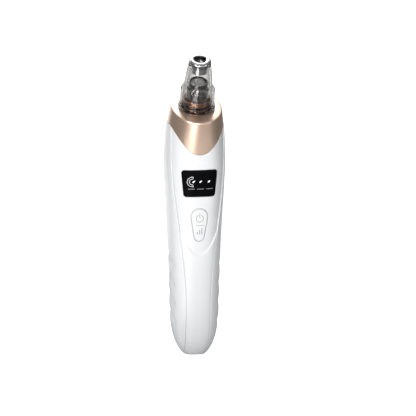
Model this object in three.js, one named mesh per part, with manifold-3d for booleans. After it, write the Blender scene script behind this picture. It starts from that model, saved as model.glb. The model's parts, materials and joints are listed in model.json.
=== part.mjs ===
// Blackhead vacuum extractor: a handheld suction pump with a clear pull-off head.
// Units are millimetres. +Z runs up the handle, -Y is the front with the screen and button,
// and the origin is the centre of the flat base end.
import * as THREE from 'three';
import { mergeVertices } from 'three/addons/utils/BufferGeometryUtils.js';
import Module from 'manifold-3d';

const wasm = await Module();
wasm.setup();

const degrees = THREE.MathUtils.degToRad;
const FAR = 60; // reaches past the body on every side
const FULL_SCALE = 1.0078; // the shapes below come to 168.7 mm, and the finished part is 170 mm tall

// ---- handle outline -------------------------------------------------------------------
const HALF_WIDTHS = [
  [0, 12.8], [30, 13.4], [60, 14.3], [80, 15.3], [104, 16.5], [120, 16.3], [130, 15.6], [139.8, 14.3],
];
const HALF_DEPTHS = [
  [0, 13.0], [30, 14.5], [60, 15.8], [80, 17.2], [104, 18.6], [120, 18.8], [130, 18.5], [139.8, 18.0],
];
const BEND_START = 104; // the centre line is straight up to here, then arcs forward
const BEND_LENGTH = 35.8;
const HEAD_TILT = degrees(22);
const BEND_RADIUS = BEND_LENGTH / HEAD_TILT;
const CREASE = BEND_START + BEND_LENGTH; // where the collar turns in towards the head
const SWAY = 1.2; // forward drift of the centre line at the bend
const END_DOME = 28; // height of the rounded base end
const END_CUT = 1.3; // how much of the dome the flat base takes off
const END_POWER = 2.4;
const SQUARENESS = 2.5; // section exponent: 2 is an ellipse
const WALL = 1.8;
const GAP = 0.3;
const SEGMENTS = 36;
const CAVITY_SEGMENTS = 24;

// ---- collar and head ------------------------------------------------------------------
const LIP_RISE = 0.2; // lip plane above the crease plane, along the head axis
const ROUND_OVER = 0.8; // the collar's outer edge starts to turn in this far below the crease
const SHOULDER = [[14.1, 17.8, -0.5], [13.5, 17.2, -0.2], [10.9, 10.9, 0]]; // [half width, half depth, level]
const LIP_WALL = 2.2; // thickness of the collar's top face
const TONGUE_TIP = 114; // lowest point of the collar at the front
const TONGUE_RISE = 17.8; // climb from the tongue to the sides and back
const TONGUE_SPAN = 16.5;
const COLLAR_INSET = 0.35; // the collar sits this far inside the white shells
const SEAT_HOLE = 7.9;
const HEAD_TOP = 28;
const SLEEVE_END = 22.3; // lower end of the metal sleeve inside the clear head

// ---- front cover ----------------------------------------------------------------------
const SEAM_LOW = 6.7; // half width of the front cover down the grip
const SEAM_GAIN = 8.1;
const SEAM_START = 28;
const SEAM_END = 116;
const SEAM_BACK = -7; // the cover stays in front of this plane
const FOOT_SEAM = { back: -2.6, top: 8 }; // lower down it also wraps under the base end
const GROOVES = [50.2, 39.6, 28.9, 18.4]; // front ends of the grip grooves, as heights
const DISH_DEPTH = 0.5;
const DISH_TIP = 57.7;
const SCREEN = { top: 105.4, bottom: 90.6, halfTop: 10.0, halfBottom: 8.6, corner: 1.5 };
const BUTTON = { topRadius: 4.6, topCentre: 79.2, tipRadius: 2.7, tipCentre: 68.2 };

// ---- inner works ----------------------------------------------------------------------
const PUMP_Y = 2.2;
const BOARD = { front: -10.5, back: -9.4, halfWidth: 9, bottom: 58, top: 112 };
const BOARD_SCREWS = [[-7, 109.3], [7, 109.3], [-6.6, 60.6], [6.6, 60.6]];
const PUMP_SCREWS = [90, 210, 330].map(degrees);
const PUMP_SCREW_CIRCLE = 9.6;
const BATTERY = { radius: 7, bottom: 16.5, top: 57, y: 0.6 };
const USB = { z: 13, halfWidth: 4.5, halfHeight: 1.65, mouth: 11.9, back: 4.6 };

// ---- small helpers --------------------------------------------------------------------
function solid(geometry) {
  const bare = geometry.clone();
  bare.deleteAttribute('normal');
  bare.deleteAttribute('uv');
  const welded = mergeVertices(bare, 1e-4);
  const mesh = new wasm.Mesh({
    numProp: 3,
    vertProperties: new Float32Array(welded.attributes.position.array),
    triVerts: new Uint32Array(welded.index.array),
  });
  const result = new wasm.Manifold(mesh);
  if (result.volume() <= 0) throw new Error('a solid is inside out');
  return result;
}

function curveThrough(stations, at) {
  const last = stations.length - 1;
  let i = stations.findIndex(([position]) => position > at) - 1;
  if (i < 0) i = at <= stations[0][0] ? 0 : last - 1;
  const [x0, y0] = stations[i];
  const [x1, y1] = stations[i + 1];
  const slope = (k) => {
    const low = stations[Math.max(0, k - 1)];
    const high = stations[Math.min(last, k + 1)];
    return (high[1] - low[1]) / (high[0] - low[0]);
  };
  const t = THREE.MathUtils.clamp((at - x0) / (x1 - x0), 0, 1);
  const step = x1 - x0;
  const h00 = 2 * t ** 3 - 3 * t ** 2 + 1;
  const h10 = t ** 3 - 2 * t ** 2 + t;
  return h00 * y0 + h10 * step * slope(i) + (1 - h00) * y1 + (t ** 3 - t ** 2) * step * slope(i + 1);
}

function power(value, exponent) {
  return Math.sign(value) * Math.abs(value) ** exponent;
}

function lathe(profile, segments = 24) {
  const points = profile.map(([radius, z]) => new THREE.Vector2(radius, z));
  return solid(new THREE.LatheGeometry(points, segments).rotateX(Math.PI / 2));
}

function cylinder(radius, low, high, x = 0, y = 0, segments = 16) {
  const post = new THREE.CylinderGeometry(radius, radius, high - low, segments).rotateX(Math.PI / 2);
  return solid(post.translate(x, y, (low + high) / 2));
}

function cylinderY(radius, front, back, x, z, segments = 12) {
  const post = new THREE.CylinderGeometry(radius, radius, back - front, segments);
  return solid(post.translate(x, (front + back) / 2, z));
}

function box([x0, x1], [y0, y1], [z0, z1]) {
  const block = new THREE.BoxGeometry(x1 - x0, y1 - y0, z1 - z0);
  return solid(block.translate((x0 + x1) / 2, (y0 + y1) / 2, (z0 + z1) / 2));
}

function ring(outer, inner, low, high, segments = 28) {
  return lathe([[inner, low], [outer, low], [outer, high], [inner, high], [inner, low]], segments);
}

// A shape drawn in X and Z, pushed through from `front` to `back` along Y.
function prism(shape, front = -FAR, back = FAR, curveSegments = 8) {
  const block = new THREE.ExtrudeGeometry(shape, { depth: back - front, bevelEnabled: false, curveSegments });
  return solid(block.rotateX(Math.PI / 2).translate(0, back, 0));
}

function tube(points, radius, steps = 8, sides = 6, bore = 0) {
  const path = new THREE.CatmullRomCurve3(points.map((p) => new THREE.Vector3(...p)));
  const round = new THREE.Shape().absarc(0, 0, radius, 0, 2 * Math.PI);
  if (bore) round.holes.push(new THREE.Path().absarc(0, 0, bore, 0, 2 * Math.PI));
  return solid(new THREE.ExtrudeGeometry(round, { steps, extrudePath: path, curveSegments: sides / 2 }));
}

function roundedOutline(corners, radius) {
  const shape = new THREE.Shape();
  corners.forEach((corner, i) => {
    const here = new THREE.Vector2(...corner);
    const before = new THREE.Vector2(...corners[(i + corners.length - 1) % corners.length]);
    const after = new THREE.Vector2(...corners[(i + 1) % corners.length]);
    const start = here.clone().add(before.sub(here).setLength(radius));
    const end = here.clone().add(after.sub(here).setLength(radius));
    if (i === 0) shape.moveTo(start.x, start.y);
    else shape.lineTo(start.x, start.y);
    shape.quadraticCurveTo(here.x, here.y, end.x, end.y);
  });
  shape.closePath();
  return shape;
}

// ---- the handle's outer form ----------------------------------------------------------
function spine(height) {
  if (height <= BEND_START) return { y: -SWAY * (height / BEND_START) ** 2, z: height, tilt: 0 };
  const tilt = (height - BEND_START) / BEND_RADIUS;
  return {
    y: -SWAY - BEND_RADIUS * (1 - Math.cos(tilt)),
    z: BEND_START + BEND_RADIUS * Math.sin(tilt),
    tilt,
  };
}

// Rounding of the base end; `inset` lifts the inner skin off the floor.
function endFactor(height, inset) {
  const t = Math.min(1, (height + END_CUT - 0.9 * inset) / END_DOME);
  return (1 - (1 - Math.max(0.02, t)) ** END_POWER) ** (1 / END_POWER);
}

// A point on the skin. The angle is measured from the front centre line towards +X.
function skinPoint(height, angle, inset = 0) {
  const centre = spine(height);
  const squareness = SQUARENESS - 0.5 * THREE.MathUtils.smoothstep(height, BEND_START, CREASE);
  const end = endFactor(height, Math.max(0, inset));
  const halfWidth = curveThrough(HALF_WIDTHS, height) * end - inset;
  const halfDepth = curveThrough(HALF_DEPTHS, height) * end - inset;
  const x = halfWidth * power(Math.sin(angle), 2 / squareness);
  const depth = -halfDepth * power(Math.cos(angle), 2 / squareness);
  return [x, centre.y + depth * Math.cos(centre.tilt), centre.z + depth * Math.sin(centre.tilt)];
}

const crease = spine(CREASE);
const HEAD_ORIGIN = [0, crease.y - LIP_RISE * Math.sin(HEAD_TILT), crease.z + LIP_RISE * Math.cos(HEAD_TILT)];

// Turns a piece drawn upright about Z into its place on the leaning head axis.
function onHeadAxis(piece) {
  return piece.rotate([THREE.MathUtils.radToDeg(HEAD_TILT), 0, 0]).translate(HEAD_ORIGIN);
}

function headPoint(x, depth, level) {
  const c = Math.cos(HEAD_TILT);
  const s = Math.sin(HEAD_TILT);
  return [x, HEAD_ORIGIN[1] + depth * c - level * s, HEAD_ORIGIN[2] + depth * s + level * c];
}

// Closed solid through rings of points, each ring closed with a fan at the two ends.
function loft(rings) {
  const count = rings[0].length;
  const centreOf = (points) => [0, 1, 2].map((k) => points.reduce((sum, p) => sum + p[k], 0) / count);
  const positions = [...rings.flat(), centreOf(rings[0]), centreOf(rings[rings.length - 1])].flat();
  const bottom = rings.length * count;
  const index = [];
  for (let i = 0; i < count; i++) {
    const next = (i + 1) % count;
    for (let level = 0; level + 1 < rings.length; level++) {
      const a = level * count + i;
      const b = level * count + next;
      index.push(a, b, b + count, a, b + count, a + count);
    }
    const top = (rings.length - 1) * count;
    index.push(bottom, next, i, bottom + 1, top + i, top + next);
  }
  const geometry = new THREE.BufferGeometry();
  geometry.setAttribute('position', new THREE.Float32BufferAttribute(positions, 3));
  geometry.setIndex(index);
  return solid(geometry);
}

function skinRings(heights, inset, shoulder, segments) {
  const angles = Array.from({ length: segments }, (_, i) => (2 * Math.PI * i) / segments);
  const rings = heights.map((height) => angles.map((angle) => skinPoint(height, angle, inset)));
  for (const [halfWidth, halfDepth, level] of shoulder) {
    rings.push(angles.map((angle) => {
      return headPoint((halfWidth - inset) * Math.sin(angle), (inset - halfDepth) * Math.cos(angle), level);
    }));
  }
  return rings;
}

const OUTER_HEIGHTS = [
  0, 0.7, 2, 4.2, 8, 14, 22, 34, 46, 58, 74, 90, 104, 113, 121, 128, 134, CREASE - ROUND_OVER,
];
const CAVITY_HEIGHTS = [2, 4, 8, 14, 22, 34, 58, 82, 104, 116, 128, CREASE - LIP_WALL];

const skin = (inset) => loft(skinRings(OUTER_HEIGHTS, inset, SHOULDER, SEGMENTS));
const outerSkin = skin(0);
const cavity = loft(skinRings(CAVITY_HEIGHTS, WALL, [], CAVITY_SEGMENTS));

function seamHalfWidth(z) {
  return SEAM_LOW + SEAM_GAIN * THREE.MathUtils.smoothstep(z, SEAM_START, SEAM_END);
}

function panelRegion(grow) {
  const levels = Array.from({ length: 11 }, (_, i) => -2 + 14 * i);
  const right = levels.map((z) => new THREE.Vector2(seamHalfWidth(z) + grow, z));
  const left = levels.map((z) => new THREE.Vector2(-seamHalfWidth(z) - grow, z)).reverse();
  const outline = new THREE.Shape([...right, ...left]);
  const foot = prism(outline, -FAR, FOOT_SEAM.back + grow);
  const lowEnd = box([-FAR, FAR], [-FAR, FAR], [-FAR, FOOT_SEAM.top + grow]);
  return prism(outline, -FAR, SEAM_BACK + grow).add(foot.intersect(lowEnd));
}

function collarEdge(x, y) {
  const wrap = THREE.MathUtils.smoothstep(y, -6, 10);
  return TONGUE_TIP + TONGUE_RISE * ((x / TONGUE_SPAN) ** 2 * (1 - wrap) + wrap);
}

// Everything above the collar's lower edge; `gap` drops the cut, measured square to the edge.
function aboveCollarEdge(gap) {
  const block = new THREE.BoxGeometry(44, 56, 2, 14, 10, 1);
  const place = block.attributes.position;
  for (let i = 0; i < place.count; i++) {
    const x = place.getX(i);
    const y = place.getY(i);
    const steepness = Math.hypot(1, collarEdge(x + 0.5, y) - collarEdge(x - 0.5, y));
    place.setZ(i, place.getZ(i) > 0 ? 3 * FAR : collarEdge(x, y) - gap * steepness);
  }
  return solid(block);
}

function dishRegion() {
  const shape = new THREE.Shape();
  const span = 17;
  const points = Array.from({ length: 13 }, (_, i) => span * (i / 6 - 1));
  shape.setFromPoints(points.map((x) => new THREE.Vector2(x, DISH_TIP + 8.3 * (x / 8.6) ** 2)));
  shape.lineTo(span, 140);
  shape.lineTo(-span, 140);
  return prism(shape, -FAR, 0);
}

function screenOutline(grow) {
  const { top, bottom, halfTop, halfBottom, corner } = SCREEN;
  const corners = [
    [-halfBottom - grow, bottom - grow], [halfBottom + grow, bottom - grow],
    [halfTop + grow, top + grow], [-halfTop - grow, top + grow],
  ];
  return roundedOutline(corners, corner + grow);
}

function buttonOutline(grow) {
  const { topRadius, topCentre, tipRadius, tipCentre } = BUTTON;
  const slant = Math.asin((topRadius - tipRadius) / (topCentre - tipCentre));
  const shape = new THREE.Shape();
  shape.absarc(0, topCentre, topRadius + grow, -slant, Math.PI + slant);
  shape.absarc(0, tipCentre, tipRadius + grow, Math.PI + slant, 2 * Math.PI - slant);
  shape.closePath();
  return shape;
}

// ---- shells ---------------------------------------------------------------------------
function makeFrontCover() {
  const dished = outerSkin.subtract(dishRegion().subtract(skin(DISH_DEPTH)));
  let cover = dished.subtract(cavity).intersect(panelRegion(0)).subtract(aboveCollarEdge(GAP));
  const lensStep = prism(screenOutline(GAP), -FAR, 0).subtract(skin(1.3));
  cover = cover.subtract(lensStep).subtract(prism(screenOutline(-0.9), -FAR, 0));
  cover = cover.subtract(prism(buttonOutline(GAP), -FAR, 0));
  const core = skin(1.2);
  for (const [x, z] of BOARD_SCREWS) {
    const boss = cylinderY(2.4, -FAR, BOARD.front - GAP, x, z).intersect(core);
    cover = cover.add(boss).subtract(cylinderY(1.3, -12.8, 0, x, z));
  }
  return cover;
}

// One groove of the side grip: a round cut that climbs backwards round the side.
function gripCutter(side, startHeight) {
  const steps = 6;
  const points = Array.from({ length: steps + 1 }, (_, i) => {
    const t = i / steps;
    const angle = side * degrees(58 + 82 * t);
    const lift = -1.1 - 1.5 * (2 * t - 1) ** 4;
    return skinPoint(startHeight + 12.5 * t, angle, lift);
  });
  return tube(points, 2.1, 7, 6);
}

// A shelf inside the rear shell that holds something round standing on Z.
function cradle(low, high, radius, y, front) {
  const slab = box([-20, 20], [front, 24], [low, high]);
  return slab.subtract(cylinder(radius, low - 1, high + 1, 0, y, 24)).intersect(skin(1.2));
}

function makeRearShell() {
  let shell = outerSkin.subtract(cavity);
  for (const side of [-1, 1]) {
    for (const start of GROOVES) shell = shell.subtract(gripCutter(side, start));
  }
  shell = shell.add(cradle(85.2, 86.8, 10.5, PUMP_Y, -3));
  shell = shell.add(cradle(48, 49.6, BATTERY.radius + 0.6, BATTERY.y, 1));
  shell = shell.add(cradle(21, 22.6, BATTERY.radius + 0.6, BATTERY.y, 1));
  shell = shell.subtract(panelRegion(GAP)).subtract(aboveCollarEdge(GAP));
  const socketHole = roundedOutline([
    [-5, USB.z - 2], [5, USB.z - 2], [5, USB.z + 2], [-5, USB.z + 2],
  ], 1.6);
  shell = shell.subtract(prism(socketHole, 8, FAR));
  for (const x of [-6, -2, 2, 6]) {
    shell = shell.subtract(prism(roundedOutline([
      [x - 0.7, 108], [x + 0.7, 108], [x + 0.7, 114], [x - 0.7, 114],
    ], 0.6), 8, FAR, 2));
  }
  return shell;
}

function makeCollar() {
  const body = skin(COLLAR_INSET).subtract(cavity).intersect(aboveCollarEdge(0));
  return body.subtract(onHeadAxis(cylinder(SEAT_HOLE, -6, 4, 0, 0, 32)));
}

// ---- head -----------------------------------------------------------------------------
function makeNozzleSeat() {
  return onHeadAxis(lathe([
    [1.6, -9], [2.5, -8.4], [2.1, -7.4], [2.1, -5.4], [9.4, -5.4], [9.4, -2.8],
    [7.2, -2.8], [7.2, 1.3], [6.5, 1.3], [6.5, 2.9], [7.5, 2.9], [7.5, 5.9], [7.1, 6.4], [6.2, 6.8],
    [6.0, 12.2], [5.3, 13.4], [5.3, 16.3], [4.6, 16.3], [4.6, 13.9], [1.6, 13.4], [1.6, -9],
  ])).subtract(seatScrews(1.2, -9));
}

function seatScrews(radius, low) {
  const left = cylinder(radius, low, 0, -8.1, 0, 12);
  return onHeadAxis(left.add(cylinder(radius, low, 0, 8.1, 0, 12)));
}

function makeSeatScrew(side) {
  const post = lathe([[0, -7.4], [1.5, -7.4], [1.5, -5.8], [0.85, -5.7], [0.85, -3.1], [0, -3.1]], 12);
  const slot = box([-0.25, 0.25], [-2, 2], [-8, -6.9]);
  return onHeadAxis(post.subtract(slot).translate([8.1 * side, 0, 0]));
}

function torus(radius, thickness, level) {
  const shape = new THREE.TorusGeometry(radius, thickness, 6, 28);
  return onHeadAxis(solid(shape.translate(0, 0, level)));
}

function makeSuctionHead() {
  return onHeadAxis(lathe([
    [8.6, 0.3], [9.9, 0.3], [10.2, 0.6], [10.2, 1.4], [9.8, 1.8], [9.35, 11.6], [9.0, 12.4],
    [8.1, 13.6], [7.7, 15], [6.15, HEAD_TOP], [4.75, HEAD_TOP], [4.75, HEAD_TOP - 2.4],
    [5.2, HEAD_TOP - 3], [6.5, 14.7], [6.9, 12.9], [8.2, 10.7], [8.6, 0.3],
  ], 32));
}

function makeSuctionTip() {
  const brim = HEAD_TOP + GAP;
  return onHeadAxis(lathe([
    [3.7, SLEEVE_END], [4.4, SLEEVE_END], [4.4, brim], [5.9, brim], [6.15, brim + 0.4], [5.95, brim + 0.9],
    [5.3, brim + 1.45], [4.4, brim + 1.75], [3.6, brim + 1.5], [3.1, brim + 0.95],
    [3.7, brim - 0.4], [3.7, SLEEVE_END],
  ], 32));
}

function makeFilter() {
  return onHeadAxis(lathe([[0, 14.3], [4.3, 14.3], [4.3, 15.4], [3.2, 16.1], [0, 16.4]], 24));
}

// ---- air path and pump ----------------------------------------------------------------
function makeHose() {
  const end = headPoint(0, 0, -6);
  const straight = headPoint(0, 0, -11);
  const path = [end, straight, [0, -2.2, 120.5], [0, -2.2, 112.3]];
  return tube(path, 4, 8, 12, 3);
}

function pumpScrewPlaces() {
  return PUMP_SCREWS.map((angle) => {
    return [PUMP_SCREW_CIRCLE * Math.cos(angle), PUMP_Y + PUMP_SCREW_CIRCLE * Math.sin(angle)];
  });
}

function withPumpHoles(piece) {
  return pumpScrewPlaces().reduce((left, [x, y]) => left.subtract(cylinder(1.3, 89.4, 115, x, y, 8)), piece);
}

function pumpDisc(radius, low, high) {
  return cylinder(radius, low, high, 0, PUMP_Y, 24);
}

function makePumpCover() {
  const nipple = cylinder(2.3, 105, 113, 0, -2.2, 16).add(cylinder(1.9, 105, 110.5, 4.6, 7, 16));
  const bores = cylinder(1.3, 102, 114, 0, -2.2, 12).add(cylinder(1, 102, 111, 4.6, 7, 12));
  return withPumpHoles(pumpDisc(11.3, 103.2, 107.4).add(nipple).subtract(bores));
}

function makeValvePlate() {
  const ports = cylinder(1.3, 100, 104, 0, -2.2, 12).add(cylinder(1, 100, 104, 4.6, 7, 12));
  return withPumpHoles(pumpDisc(11.3, 100.6, 102.9).subtract(ports));
}

function makeDiaphragm() {
  const bells = [30, 150, 270].map(degrees).map((angle) => {
    return cylinder(3.3, 97.1, 99, 4.9 * Math.cos(angle), PUMP_Y + 4.9 * Math.sin(angle), 16);
  });
  const sheet = pumpDisc(11.3, 98.9, 100.3);
  return withPumpHoles(bells.reduce((whole, bell) => whole.add(bell), sheet));
}

function makeWobblePlate() {
  const arms = lathe([[0, 93.6], [0.9, 93.6], [0.9, 95.2], [7.3, 95.6], [7.3, 96.8], [0, 96.8]], 24);
  return arms.translate([0, PUMP_Y, 0]);
}

function makePumpBase() {
  const cup = lathe([
    [1.5, 87.2], [11.3, 87.2], [11.3, 98.6], [8.9, 98.6], [8.9, 89.6], [1.5, 89.6], [1.5, 87.2],
  ]);
  const posts = pumpScrewPlaces().map(([x, y]) => cylinder(1.9, 89, 98.6, x, y - PUMP_Y, 12));
  const joined = posts.reduce((whole, post) => whole.add(post), cup).intersect(cylinder(11.3, 87, 99, 0, 0, 24));
  return withPumpHoles(joined.translate([0, PUMP_Y, 0]));
}

function makeEccentric() {
  const hub = cylinder(3.6, 90.2, 93.2, 0, PUMP_Y, 20);
  const bore = cylinder(1.3, 89, 92, 0, PUMP_Y, 12);
  return hub.subtract(bore).subtract(cylinder(0.8, 92.2, 94, 1.9, PUMP_Y, 10));
}

function makePumpScrew([x, y]) {
  const post = lathe([[0, 90], [0.9, 90], [0.9, 107.7], [1.8, 107.7], [1.8, 109], [0, 109]], 12);
  return post.subtract(box([-2, 2], [-0.25, 0.25], [108.4, 110])).translate([x, y, 0]);
}

function makePumpPad() {
  const sleeve = ring(12.5, 11.7, 88, 96.5).translate([0, PUMP_Y, 0]);
  return sleeve.intersect(box([-14, 14], [-1, 16], [80, 100]));
}

// ---- motor ----------------------------------------------------------------------------
function makeMotorCan() {
  const cup = [[1.4, 86.9], [1.4, 86.1], [9.6, 86.1], [9.6, 64], [10.1, 64], [10.1, 86.9], [1.4, 86.9]];
  return lathe(cup, 28).translate([0, PUMP_Y, 0]);
}

function makeMagnet(side) {
  const arc = ring(9.2, 7.9, 67, 82, 32).translate([0, PUMP_Y, 0]);
  const window = side > 0 ? [1.6, 12] : [-12, -1.6];
  return arc.intersect(box(window, [-12, 16], [60, 90]));
}

function makeArmature() {
  const core = cylinder(7.5, 68, 81, 0, PUMP_Y, 24).subtract(cylinder(1.3, 60, 90, 0, PUMP_Y, 12));
  const slots = [90, 210, 330].map(degrees).map((angle) => {
    return cylinder(1.9, 60, 90, 5.1 * Math.cos(angle), PUMP_Y + 5.1 * Math.sin(angle), 12)
      .add(cylinder(0.8, 60, 90, 7.1 * Math.cos(angle), PUMP_Y + 7.1 * Math.sin(angle), 8));
  });
  return slots.reduce((left, slot) => left.subtract(slot), core);
}

function makeEndCap() {
  const cap = lathe([
    [1.4, 61.4], [3, 61.4], [3, 62.6], [10, 62.6], [10, 63.7], [9.2, 63.7],
    [9.2, 66], [7.8, 66], [7.8, 64.4], [1.4, 64.4], [1.4, 61.4],
  ]);
  return cap.translate([0, PUMP_Y, 0]).subtract(terminalSlots());
}

function terminalSlots() {
  const slot = (x) => box([x - 0.6, x + 0.6], [PUMP_Y - 1.6, PUMP_Y + 1.6], [60, 68]);
  return slot(-6).add(slot(6));
}

function makeTerminal(side) {
  return box([6 * side - 0.3, 6 * side + 0.3], [PUMP_Y - 1.2, PUMP_Y + 1.2], [59.6, 65.2]);
}

// ---- front electronics ----------------------------------------------------------------
function makeBoard() {
  const blank = prism(roundedOutline([
    [-BOARD.halfWidth, BOARD.bottom], [BOARD.halfWidth, BOARD.bottom],
    [BOARD.halfWidth, BOARD.top], [-BOARD.halfWidth, BOARD.top],
  ], 2), BOARD.front, BOARD.back, 3);
  return BOARD_SCREWS.reduce((left, [x, z]) => left.subtract(cylinderY(1.3, -20, 0, x, z)), blank);
}

function makeBoardScrew([x, z]) {
  const back = BOARD.back + GAP;
  const post = cylinderY(1, -12.4, back + 0.2, x, z, 10).add(cylinderY(1.9, back, back + 1.2, x, z, 12));
  return post.subtract(box([x - 2, x + 2], [back + 0.7, back + 2], [z - 0.25, z + 0.25]));
}

function makeSwitch(z) {
  const front = BOARD.front - GAP;
  const body = box([-2.6, 2.6], [front - 1.4, front], [z - 2.6, z + 2.6]);
  return body.add(cylinderY(1.5, front - 2.1, front - 1, 0, z, 14));
}

function makeLightGuide() {
  const block = box([-8, 8], [-FAR, BOARD.front - GAP], [91.8, 104.2]).intersect(skin(2.1));
  const wells = lightPlaces().map(([x, z, half]) => box([x - half, x + half], [-FAR, 0], [z - half, z + half]));
  return wells.reduce((left, well) => left.subtract(well), block);
}

function lightPlaces() {
  return [[-5.2, 98, 1.8], [-1, 98, 1.4], [2.6, 98, 1.4], [6, 98, 1.2]];
}

function makeLight([x, z]) {
  return box([x - 0.7, x + 0.7], [BOARD.front - GAP - 0.7, BOARD.front - GAP], [z - 0.7, z + 0.7]);
}

function makeLens() {
  return prism(screenOutline(0), -FAR, 0).intersect(skin(0.35)).subtract(skin(1.0));
}

function makeButton() {
  const inner = skin(3.3);
  const cap = prism(buttonOutline(0), -FAR, 0).intersect(skin(0.15));
  const flange = prism(buttonOutline(1.3), -FAR, 0).intersect(skin(2.5));
  const pip = cylinderY(1, -15.6, -13.4, 0, 81, 12);
  return cap.add(flange).subtract(inner).add(pip);
}

function chip(halfX, halfZ, x, z, height) {
  return box([x - halfX, x + halfX], [BOARD.back + GAP, BOARD.back + GAP + height], [z - halfZ, z + halfZ]);
}

// ---- power ----------------------------------------------------------------------------
function makeBattery() {
  const { radius, bottom, top } = BATTERY;
  const can = [
    [0, bottom], [radius - 0.6, bottom], [radius, bottom + 0.6], [radius, top - 1.6],
    [radius - 0.7, top - 0.9], [2.4, top - 0.9], [2.4, top], [0, top],
  ];
  return lathe(can, 32).translate([0, BATTERY.y, 0]);
}

function makeBatteryPad() {
  const pad = ring(BATTERY.radius + 1.3, BATTERY.radius + 0.4, 27, 44).translate([0, BATTERY.y, 0]);
  return pad.intersect(box([-10, 10], [2, 12], [20, 50]));
}

function makeUsbSocket() {
  const { z, halfWidth, halfHeight, mouth, back } = USB;
  const outline = (shrink) => roundedOutline([
    [-halfWidth + shrink, z - halfHeight + shrink], [halfWidth - shrink, z - halfHeight + shrink],
    [halfWidth - shrink, z + halfHeight - shrink], [-halfWidth + shrink, z + halfHeight - shrink],
  ], 1.5 - shrink);
  const shell = prism(outline(0), back, mouth, 4).subtract(prism(outline(0.35), back + 1, FAR, 4));
  return shell.add(box([-3.3, 3.3], [back + 0.5, mouth - 1], [z - 0.35, z + 0.35]));
}

function makeUsbBoard() {
  return box([-5.5, 5.5], [-3.5, 7.2], [USB.z - USB.halfHeight - 1.4, USB.z - USB.halfHeight - GAP]);
}

function lead(points, steps = 8) {
  return tube(points, 0.5, steps, 6);
}

function makeMotorLead(side) {
  return lead([
    [7.2 * side, PUMP_Y, 61], [8.4 * side, PUMP_Y - 2, 59.6], [8.6 * side, -5, 62], [7.8 * side, -8.5, 64.9],
  ]);
}

// The red lead comes off the cell's top button, the black one climbs its front from the base.
const RED_LEAD_PATH = [[1.4, BATTERY.y, 58], [2.2, -2.4, 59], [1.4, -6, 59.6]];
const BLACK_LEAD_PATH = [
  [-2.4, -3.4, 15.5], [-4.3, -6.4, 15.6], [-4.8, -7.9, 21], [-4.6, -8, 46], [-3.6, -7.4, 56],
  [-1.6, -5.8, 59.4],
];

function makeChargeLead(side) {
  return lead([
    [4.6 * side, -2.6, USB.z - 1], [8.4 * side, -5.5, 22], [8.2 * side, -7, 42], [6.2 * side, -8.5, 57],
  ], 12);
}

// ---- materials ------------------------------------------------------------------------
function finish(color, roughness, metalness = 0) {
  return new THREE.MeshStandardMaterial({ color, roughness, metalness });
}
const WHITE = finish(0xf2f1ee, 0.32);
const GOLD = finish(0xd8b79c, 0.35, 0.75);
const SMOKE = finish(0x8d8680, 0.12);
const CHROME = finish(0xd6d6d8, 0.12, 1);
const BLACK_GLASS = finish(0x101013, 0.06);
const BROWN = finish(0x4b3226, 0.3);
const RUBBER = finish(0x2a2a2c, 0.8);
const SILICONE = finish(0xd9d6d0, 0.55);
const FOAM = finish(0xe6e2d8, 0.95);
const STEEL = finish(0xb4b6ba, 0.3, 1);
const MAGNET = finish(0x3c3c40, 0.6, 0.4);
const COPPER = finish(0x9a5a30, 0.4, 0.8);
const NYLON = finish(0xe9e7e0, 0.5);
const BOARD_GREEN = finish(0x1d5a34, 0.5);
const CHIP_BLACK = finish(0x1b1b1e, 0.5);
const LIGHT_WHITE = finish(0xfbfaf2, 0.4);
const CELL_BLUE = finish(0x2f6fae, 0.4);
const RED_WIRE = finish(0xb02a24, 0.5);
const BLACK_WIRE = finish(0x222224, 0.5);

// ---- assembly -------------------------------------------------------------------------
const extractor = new THREE.Group();
extractor.name = 'blackhead_vacuum_extractor';

function place(name, manifold, material) {
  const data = manifold.scale(FULL_SCALE).simplify(0.004).getMesh();
  const geometry = new THREE.BufferGeometry();
  geometry.setAttribute('position', new THREE.BufferAttribute(new Float32Array(data.vertProperties), 3));
  geometry.setIndex(new THREE.BufferAttribute(new Uint32Array(data.triVerts), 1));
  geometry.computeVertexNormals();
  const mesh = new THREE.Mesh(geometry, material);
  mesh.name = name;
  extractor.add(mesh);
}

const SIDES = [['left', -1], ['right', 1]];

place('front_cover', makeFrontCover(), WHITE);
place('rear_shell', makeRearShell(), WHITE);
place('collar', makeCollar(), GOLD);
place('display_lens', makeLens(), BLACK_GLASS);
place('button_cap', makeButton(), WHITE);

place('suction_head', makeSuctionHead(), SMOKE);
place('suction_tip', makeSuctionTip(), CHROME);
place('nozzle_seat', makeNozzleSeat(), BROWN);
place('seat_seal', torus(7.4, 0.6, 2.1), RUBBER);
place('filter_sponge', makeFilter(), FOAM);
for (const [name, side] of SIDES) place(`seat_screw_${name}`, makeSeatScrew(side), STEEL);

place('air_hose', makeHose(), SILICONE);
place('pump_cover', makePumpCover(), NYLON);
place('valve_plate', makeValvePlate(), NYLON);
place('pump_diaphragm', makeDiaphragm(), RUBBER);
place('wobble_plate', makeWobblePlate(), NYLON);
place('pump_base', makePumpBase(), NYLON);
place('eccentric_hub', makeEccentric(), NYLON);
place('pump_pad', makePumpPad(), RUBBER);
pumpScrewPlaces().forEach((spot, i) => place(`pump_screw_${i + 1}`, makePumpScrew(spot), STEEL));

place('motor_can', makeMotorCan(), STEEL);
place('motor_end_cap', makeEndCap(), NYLON);
place('motor_shaft', cylinder(1, 60.4, 91.6, 0, PUMP_Y, 12), STEEL);
place('motor_armature', makeArmature(), COPPER);
for (const [name, side] of SIDES) {
  place(`motor_magnet_${name}`, makeMagnet(side), MAGNET);
  place(`motor_terminal_${name}`, makeTerminal(side), COPPER);
}

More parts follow.
